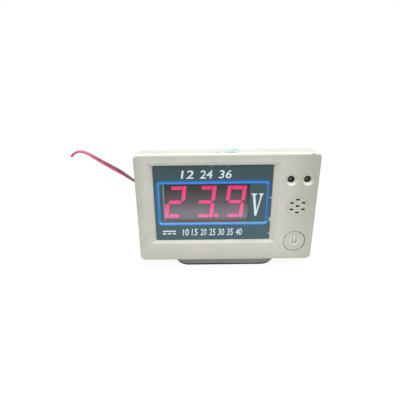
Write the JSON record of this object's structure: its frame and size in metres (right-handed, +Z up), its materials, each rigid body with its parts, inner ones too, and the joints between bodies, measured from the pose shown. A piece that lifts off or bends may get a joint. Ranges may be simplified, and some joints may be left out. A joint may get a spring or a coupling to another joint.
{
  "type": "digital voltage meter",
  "caption": "Small digital voltmeter with a lit numeric display, lamps, sounder and power button in an ivory case that tilts on a dark stand, with a short twin lead.",
  "frame": {"origin": "on the surface that it stands on, under the middle of the case and stand, the lead left out", "axes": "+Z up, -Y towards the viewer of the display, +X to the right as seen from the front"},
  "size_m": [0.1128, 0.0364, 0.0516],
  "materials": {
    "ivory_plastic": "satin",
    "label_film": "satin",
    "blue_ink": "gloss",
    "white_ink": "gloss",
    "smoked_window": "clear",
    "display_black": "matte",
    "lit_bars": "lit",
    "dark_bars": "satin",
    "board_green": "satin",
    "tinned_metal": "bright",
    "screw_steel": "satin",
    "lamp_resin": "gloss",
    "black_moulding": "matte",
    "can_metal": "satin",
    "resistor_ceramic": "satin",
    "red_insulation": "satin",
    "black_insulation": "satin",
    "bushing_rubber": "matte",
    "seal_foil": "gloss",
    "stand_plastic": "satin",
    "foam": "matte"
  },
  "bodies": {
    "stand": {"stand_base": "stand_plastic", "stand_pad": "foam", "hinge_screw": "screw_steel", "hinge_nut": "screw_steel", "hinge_washers": "screw_steel"},
    "case": {"buzzer": "black_moulding", "buzzer_pins": "tinned_metal", "case_screws": "screw_steel", "chip_resistors": "resistor_ceramic", "control_chip": "black_moulding", "control_chip_legs": "tinned_metal", "cord_bushing": "bushing_rubber", "display_housing": "display_black", "display_pins": "tinned_metal", "display_segments_lit": "lit_bars", "display_segments_unlit": "dark_bars", "display_window": "smoked_window", "face_label": "label_film", "filter_capacitor": "can_metal", "front_shell": "ivory_plastic", "indicator_led_left": "lamp_resin", "indicator_led_right": "lamp_resin", "inner_lead_black": "black_insulation", "inner_lead_red": "red_insulation", "label_frame_print": "blue_ink", "label_sign_print": "white_ink", "lead_solder": "tinned_metal", "led_leads": "tinned_metal", "main_board": "board_green", "protection_diode": "black_moulding", "rear_cover": "ivory_plastic", "seal_scrap": "seal_foil", "supply_cord": "red_insulation", "switch_body": "black_moulding", "switch_legs": "tinned_metal", "voltage_regulator": "black_moulding"},
    "button": {"power_button": "ivory_plastic", "switch_plunger": "black_moulding"}
  },
  "joints": [
    {"name": "tilt", "type": "hinge", "parent": "stand", "child": "case", "pos_m": [0, 0.00925, 0.0072], "axis": [-1, 0, 0], "range_deg": [0, 30]},
    {"name": "button_press", "type": "slide", "parent": "case", "child": "button", "axis": [0, 1, 0], "range_m": [0, 0.0005], "stiffness_N_per_m": 1500, "springref_m": -0.0002}
  ]
}
